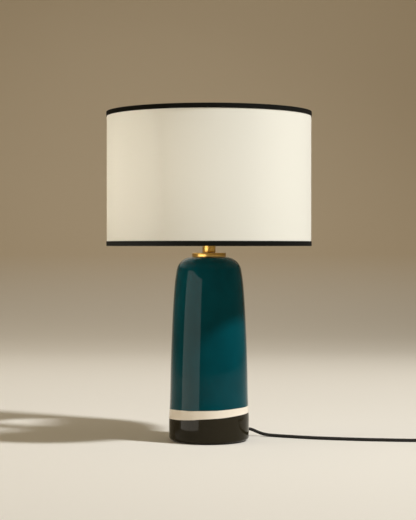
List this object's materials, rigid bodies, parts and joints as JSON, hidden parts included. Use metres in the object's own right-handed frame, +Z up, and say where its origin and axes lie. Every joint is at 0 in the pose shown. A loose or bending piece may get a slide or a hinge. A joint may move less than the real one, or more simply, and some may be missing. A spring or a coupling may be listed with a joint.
{
  "type": "table lamp with shade",
  "caption": "Table lamp: glazed ceramic body banded in teal, cream and black, brass disc and neck, white drum shade with black trims, and a corded inline switch and plug.",
  "frame": {"origin": "on the lamp's axis, on the surface that the lamp stands on", "axes": "+Z up along the lamp's axis; the lead leaves the back of the foot and runs towards +X"},
  "size_m": [0.6882, 0.3714, 0.56],
  "materials": {
    "glaze": "glossy ceramic glaze in three zones, teal over cream over black",
    "felt": "pressed felt",
    "fibreboard": "raw hardboard",
    "rubber": "matt",
    "steel": "zinc plated",
    "brass": "satin, finely turned",
    "black_plastic": "moulded, fine grain",
    "porcelain": "glazed",
    "nickel": "nickel plated",
    "opal_glass": "opal",
    "shade_cloth": "fine cotton weave on a stiff backing",
    "trim_cloth": "folded cotton binding",
    "white_wire": "white epoxy powder",
    "wire_brown": "PVC insulation",
    "wire_blue": "PVC insulation",
    "braid": "braided textile sleeve"
  },
  "bodies": {
    "root": {"ceramic_body": "glaze", "felt_pad": "felt", "base_cover": "fibreboard", "rubber_washer": "rubber", "steel_washer": "steel", "rod_nut": "steel", "threaded_rod": "steel", "brass_disc": "brass", "neck_tube": "brass", "holder_cap": "black_plastic", "holder_skirt": "black_plastic", "holder_core": "porcelain", "holder_sleeve": "nickel", "centre_contact": "brass", "terminal_1": "brass", "terminal_2": "brass", "terminal_screw_1": "steel", "terminal_screw_2": "steel", "lead_core_1": "wire_brown", "lead_core_2": "wire_blue", "cord_bush": "rubber", "bush_nut": "brass", "inner_lead": "braid", "switch_base": "black_plastic", "switch_cover": "black_plastic", "switch_blade": "nickel", "switch_terminal_1": "brass", "switch_terminal_2": "brass", "switch_screw_1": "steel", "switch_screw_2": "steel", "cord_lead": "braid", "cord_link": "braid", "cord_tail": "braid", "cord_coil": "braid", "coil_tie_1": "rubber", "coil_tie_2": "rubber", "plug_body": "black_plastic", "plug_pin_1": "nickel", "plug_pin_2": "nickel"},
    "shade": {"shade_drum": "shade_cloth", "top_trim": "trim_cloth", "bottom_trim": "trim_cloth", "top_ring": "white_wire", "bottom_ring": "white_wire", "carrier_washer": "white_wire", "carrier_arm_1": "white_wire", "carrier_arm_2": "white_wire", "carrier_arm_3": "white_wire"},
    "screw_ring": {"shade_ring": "black_plastic"},
    "bulb_tip": {"bulb_contact": "nickel"},
    "bulb": {"bulb_insulator": "black_plastic", "bulb_cap": "nickel", "bulb_glass": "opal_glass"},
    "rocker": {"switch_rocker": "black_plastic"}
  },
  "joints": [
    {"name": "shade_swivel", "type": "hinge", "parent": "root", "child": "shade", "pos_m": [0, 0, 0.375], "axis": [0, 0, 1], "continuous": true},
    {"name": "ring_turn", "type": "hinge", "parent": "root", "child": "screw_ring", "pos_m": [0, 0, 0.38], "axis": [0, 0, 1], "range_deg": [0, 90]},
    {"name": "bulb_travel", "type": "slide", "parent": "root", "child": "bulb_tip", "axis": [0, 0, 1], "range_m": [0, 0.0182]},
    {"name": "bulb_turn", "type": "hinge", "parent": "bulb_tip", "child": "bulb", "pos_m": [0, 0, 0.38], "axis": [0, 0, 1], "range_deg": [0, 1800]},
    {"name": "switch_rock", "type": "hinge", "parent": "root", "child": "rocker", "pos_m": [0.413, -0.026, 0.0108], "axis": [0, -1, 0], "range_deg": [0, 16]}
  ],
  "couplings": [
    {"joint": "bulb_travel", "follows": "bulb_turn", "m_per_rad": 0.0005775}
  ]
}
